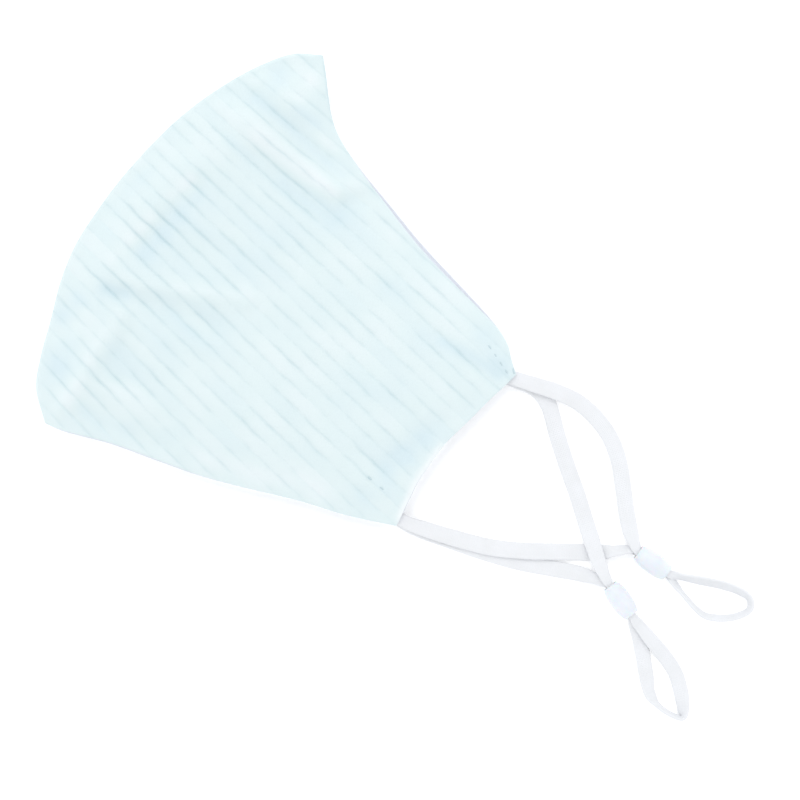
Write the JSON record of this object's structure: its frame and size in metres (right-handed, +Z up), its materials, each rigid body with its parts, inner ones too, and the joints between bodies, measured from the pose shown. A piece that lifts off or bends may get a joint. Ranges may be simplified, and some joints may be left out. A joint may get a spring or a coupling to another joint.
{
  "type": "cloth face mask",
  "caption": "Reusable ribbed cloth face mask, folded flat along its curved front seam and lying on its right half, with flat elastic ear loops and oval bead toggles.",
  "frame": {"origin": "on the surface the mask lies on, under the middle of the box of the cloth, ear loops and toggles left out", "axes": "+X along the ribs from the front seam to the ear edge and the ear loops, +Y from the chin to the nose, +Z up out of the surface, towards the outer face of the left half"},
  "size_m": [0.2468, 0.1446, 0.0143],
  "materials": {
    "ribbed_cloth": "pale ice blue ribbed knit, soft and matt",
    "lining_cloth": "very pale lavender plain knit, matt",
    "elastic": "white flat knitted elastic, matt",
    "toggle_plastic": "soft milky silicone with a dull gloss"
  },
  "bodies": {
    "root": {"left_panel": "ribbed_cloth", "right_panel": "ribbed_cloth", "left_lining": "lining_cloth", "right_lining": "lining_cloth", "front_seam": "ribbed_cloth", "left_ear_loop": "elastic", "right_ear_loop": "elastic", "left_toggle": "toggle_plastic", "right_toggle": "toggle_plastic"}
  },
  "joints": []
}
